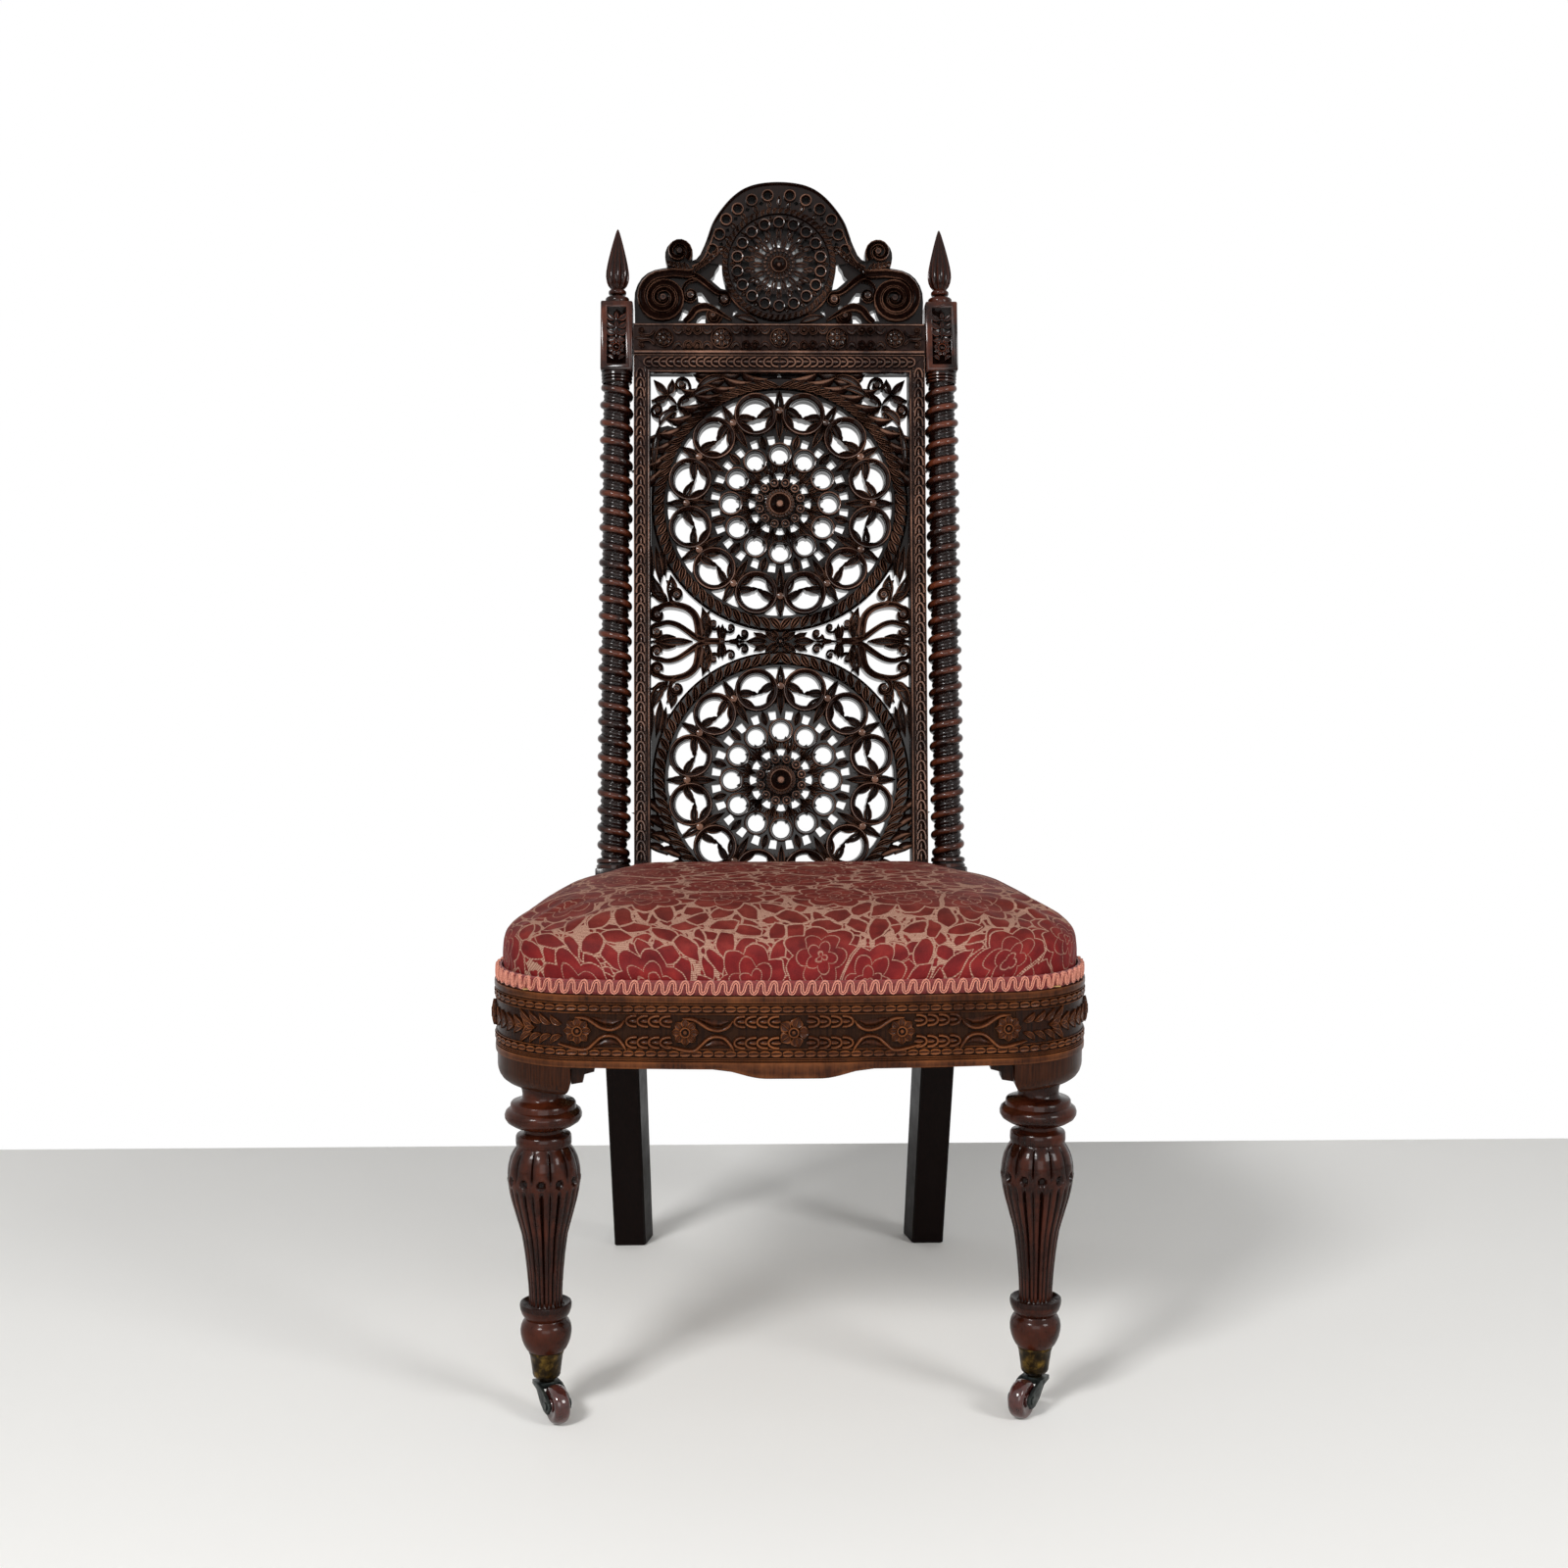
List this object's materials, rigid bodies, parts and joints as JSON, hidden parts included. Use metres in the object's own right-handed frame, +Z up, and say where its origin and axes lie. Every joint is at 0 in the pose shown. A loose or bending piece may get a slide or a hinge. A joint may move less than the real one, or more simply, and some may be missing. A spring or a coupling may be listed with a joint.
{
  "type": "carved side chair",
  "caption": "High-backed carved wooden side chair with twisted back posts, a pierced rosette panel, an arched crest, a domed damask seat, turned front legs and castors.",
  "frame": {"origin": "on the floor, under the middle of the bounding box", "axes": "+Z up, -Y is the front that the sitter faces, +X is to the right as seen from the front"},
  "size_m": [0.4998, 0.534, 1.1038],
  "materials": {
    "carved_rosewood": "carved and waxed, dark red brown",
    "turned_rosewood": "turned and French polished",
    "plain_stained_wood": "planed and stained nearly black",
    "floral_damask": "woven damask, deep red flowers on a beige pink ribbed ground",
    "looped_gimp": "salmon pink looped braid",
    "linen_canvas": "plain unbleached linen",
    "jute_webbing": "woven jute",
    "worn_brass": "darkened cast brass",
    "dark_cast_iron": "cast and darkened",
    "glazed_china": "brown glaze"
  },
  "bodies": {
    "chair_frame": {"seat_rail_front": "carved_rosewood", "seat_rail_left": "carved_rosewood", "seat_rail_right": "carved_rosewood", "back_stile_left": "carved_rosewood", "back_stile_right": "carved_rosewood", "frieze_rail": "carved_rosewood", "crest": "carved_rosewood", "panel_frame_top": "carved_rosewood", "panel_frame_bottom": "carved_rosewood", "panel_frame_left": "carved_rosewood", "panel_frame_right": "carved_rosewood", "pierced_panel": "carved_rosewood", "front_leg_left": "turned_rosewood", "front_leg_right": "turned_rosewood", "finial_left": "turned_rosewood", "finial_right": "turned_rosewood", "seat_rail_rear": "plain_stained_wood", "corner_block_left": "plain_stained_wood", "corner_block_right": "plain_stained_wood", "leg_bracket_left": "plain_stained_wood", "leg_bracket_right": "plain_stained_wood", "seat_cushion": "floral_damask", "gimp_braid": "looped_gimp", "seat_canvas": "linen_canvas", "seat_webbing": "jute_webbing", "castor_cup_left": "worn_brass", "castor_cup_right": "worn_brass", "castor_spindle_left": "dark_cast_iron", "castor_spindle_right": "dark_cast_iron"},
    "left_castor": {"castor_fork_left": "dark_cast_iron", "wheel_axle_left": "dark_cast_iron"},
    "left_wheel": {"castor_wheel_left": "glazed_china"},
    "right_castor": {"castor_fork_right": "dark_cast_iron", "wheel_axle_right": "dark_cast_iron"},
    "right_wheel": {"castor_wheel_right": "glazed_china"}
  },
  "joints": [
    {"name": "left_castor_swivel", "type": "hinge", "parent": "chair_frame", "child": "left_castor", "pos_m": [-0.2095, -0.206, 0.0288], "axis": [0, 0, 1], "continuous": true},
    {"name": "left_wheel_roll", "type": "hinge", "parent": "left_castor", "child": "left_wheel", "pos_m": [-0.19894, -0.22866, 0.0163], "axis": [0.9063, 0.4226, 0], "continuous": true},
    {"name": "right_castor_swivel", "type": "hinge", "parent": "chair_frame", "child": "right_castor", "pos_m": [0.2095, -0.206, 0.0288], "axis": [0, 0, 1], "continuous": true},
    {"name": "right_wheel_roll", "type": "hinge", "parent": "right_castor", "child": "right_wheel", "pos_m": [0.19588, -0.22697, 0.0163], "axis": [0.8387, -0.5446, 0], "continuous": true}
  ]
}
